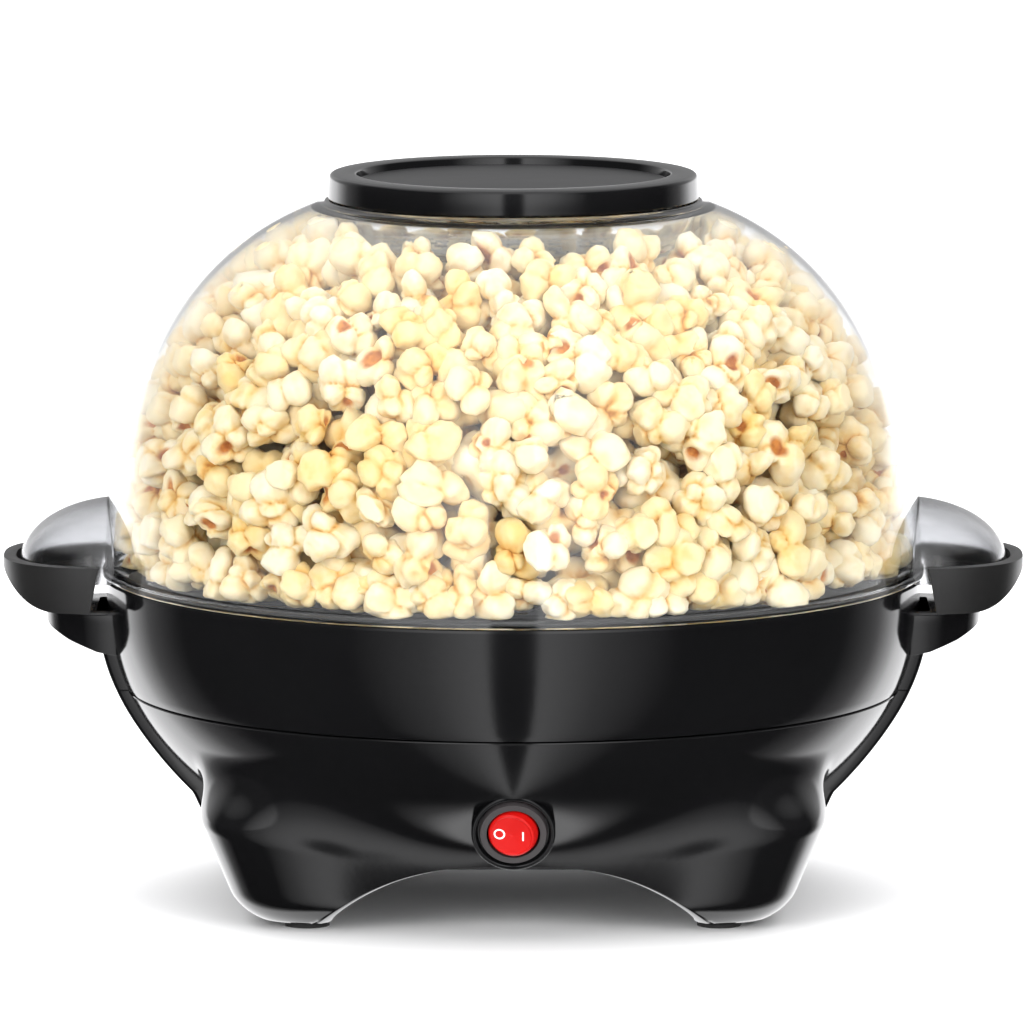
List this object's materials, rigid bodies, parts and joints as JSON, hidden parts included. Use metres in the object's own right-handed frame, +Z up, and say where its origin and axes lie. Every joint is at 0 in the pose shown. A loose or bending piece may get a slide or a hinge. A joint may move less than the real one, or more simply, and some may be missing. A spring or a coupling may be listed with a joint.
{
  "type": "stirring popcorn maker",
  "caption": "Electric stirring popcorn maker: round black base on arched legs with a rocker switch, clear dome lid that doubles as a bowl, side grips and a cap over a butter well.",
  "frame": {"origin": "centre of the footprint on the floor, under the stirrer's axis", "axes": "+Z up, the switch faces -Y, the grips lie along X"},
  "size_m": [0.346, 0.2788, 0.247],
  "materials": {
    "gloss_black": "high gloss",
    "satin_black": "satin, finely textured",
    "clear_dome": "clear, polished",
    "coated_aluminium": "dark non-stick coating",
    "steel": "plain",
    "polished_steel": "polished",
    "brass": "plain",
    "nylon_white": "natural",
    "red_plastic": "gloss",
    "rubber": "matte",
    "wire_brown": "satin",
    "wire_blue": "satin"
  },
  "bodies": {
    "base": {"lower_housing": "gloss_black", "upper_housing": "gloss_black", "bottom_cover": "satin_black", "cover_screws": "steel", "ring_screws": "steel", "foot_pads": "rubber", "heating_plate": "coated_aluminium", "heating_element": "steel", "element_clamps": "steel", "thermostat": "brass", "thermal_fuse": "nylon_white", "heat_shield": "steel", "plate_posts": "steel", "post_nuts": "steel", "shaft_bushing": "brass", "seal_washer": "rubber", "gear_case": "satin_black", "gear_case_cover": "steel", "gear_screws": "steel", "motor_can": "steel", "switch_body": "satin_black", "switch_terminals": "brass", "terminal_block": "nylon_white", "wires_live": "wire_brown", "wires_neutral": "wire_blue", "cord_gland": "satin_black"},
    "dome_group": {"dome": "clear_dome", "butter_well": "clear_dome", "wing_left": "clear_dome", "wing_right": "clear_dome", "grip_left": "satin_black", "grip_right": "satin_black", "grip_screws": "steel"},
    "cap": {"vent_lid": "gloss_black"},
    "stirrer": {"stirrer_shaft": "polished_steel", "output_gear": "nylon_white", "stirrer_hub": "satin_black", "stirring_rod": "polished_steel", "hub_cap": "polished_steel"},
    "idler": {"idler_gear": "nylon_white"},
    "rotor": {"motor_rotor": "brass"},
    "rocker": {"switch_rocker": "red_plastic"}
  },
  "joints": [
    {"name": "dome_lift", "type": "slide", "parent": "base", "child": "dome_group", "axis": [0, 0, 1], "range_m": [0, 0.2]},
    {"name": "cap_lift", "type": "slide", "parent": "dome_group", "child": "cap", "axis": [0, 0, 1], "range_m": [0, 0.05]},
    {"name": "stirrer_spin", "type": "hinge", "parent": "base", "child": "stirrer", "pos_m": [0, 0, 0.1], "axis": [0, 0, 1], "continuous": true},
    {"name": "idler_spin", "type": "hinge", "parent": "base", "child": "idler", "pos_m": [0.02, 0, 0.058], "axis": [0, 0, 1], "continuous": true},
    {"name": "rotor_spin", "type": "hinge", "parent": "base", "child": "rotor", "pos_m": [0, 0, 0.04], "axis": [0, 0, 1], "continuous": true},
    {"name": "rocker_tip", "type": "hinge", "parent": "base", "child": "rocker", "pos_m": [0, -0.11124, 0.04002], "axis": [0, -0.342, 0.9397], "range_deg": [0, 24]}
  ],
  "couplings": [
    {"joint": "idler_spin", "follows": "stirrer_spin", "ratio": -4},
    {"joint": "rotor_spin", "follows": "stirrer_spin", "ratio": 16}
  ]
}
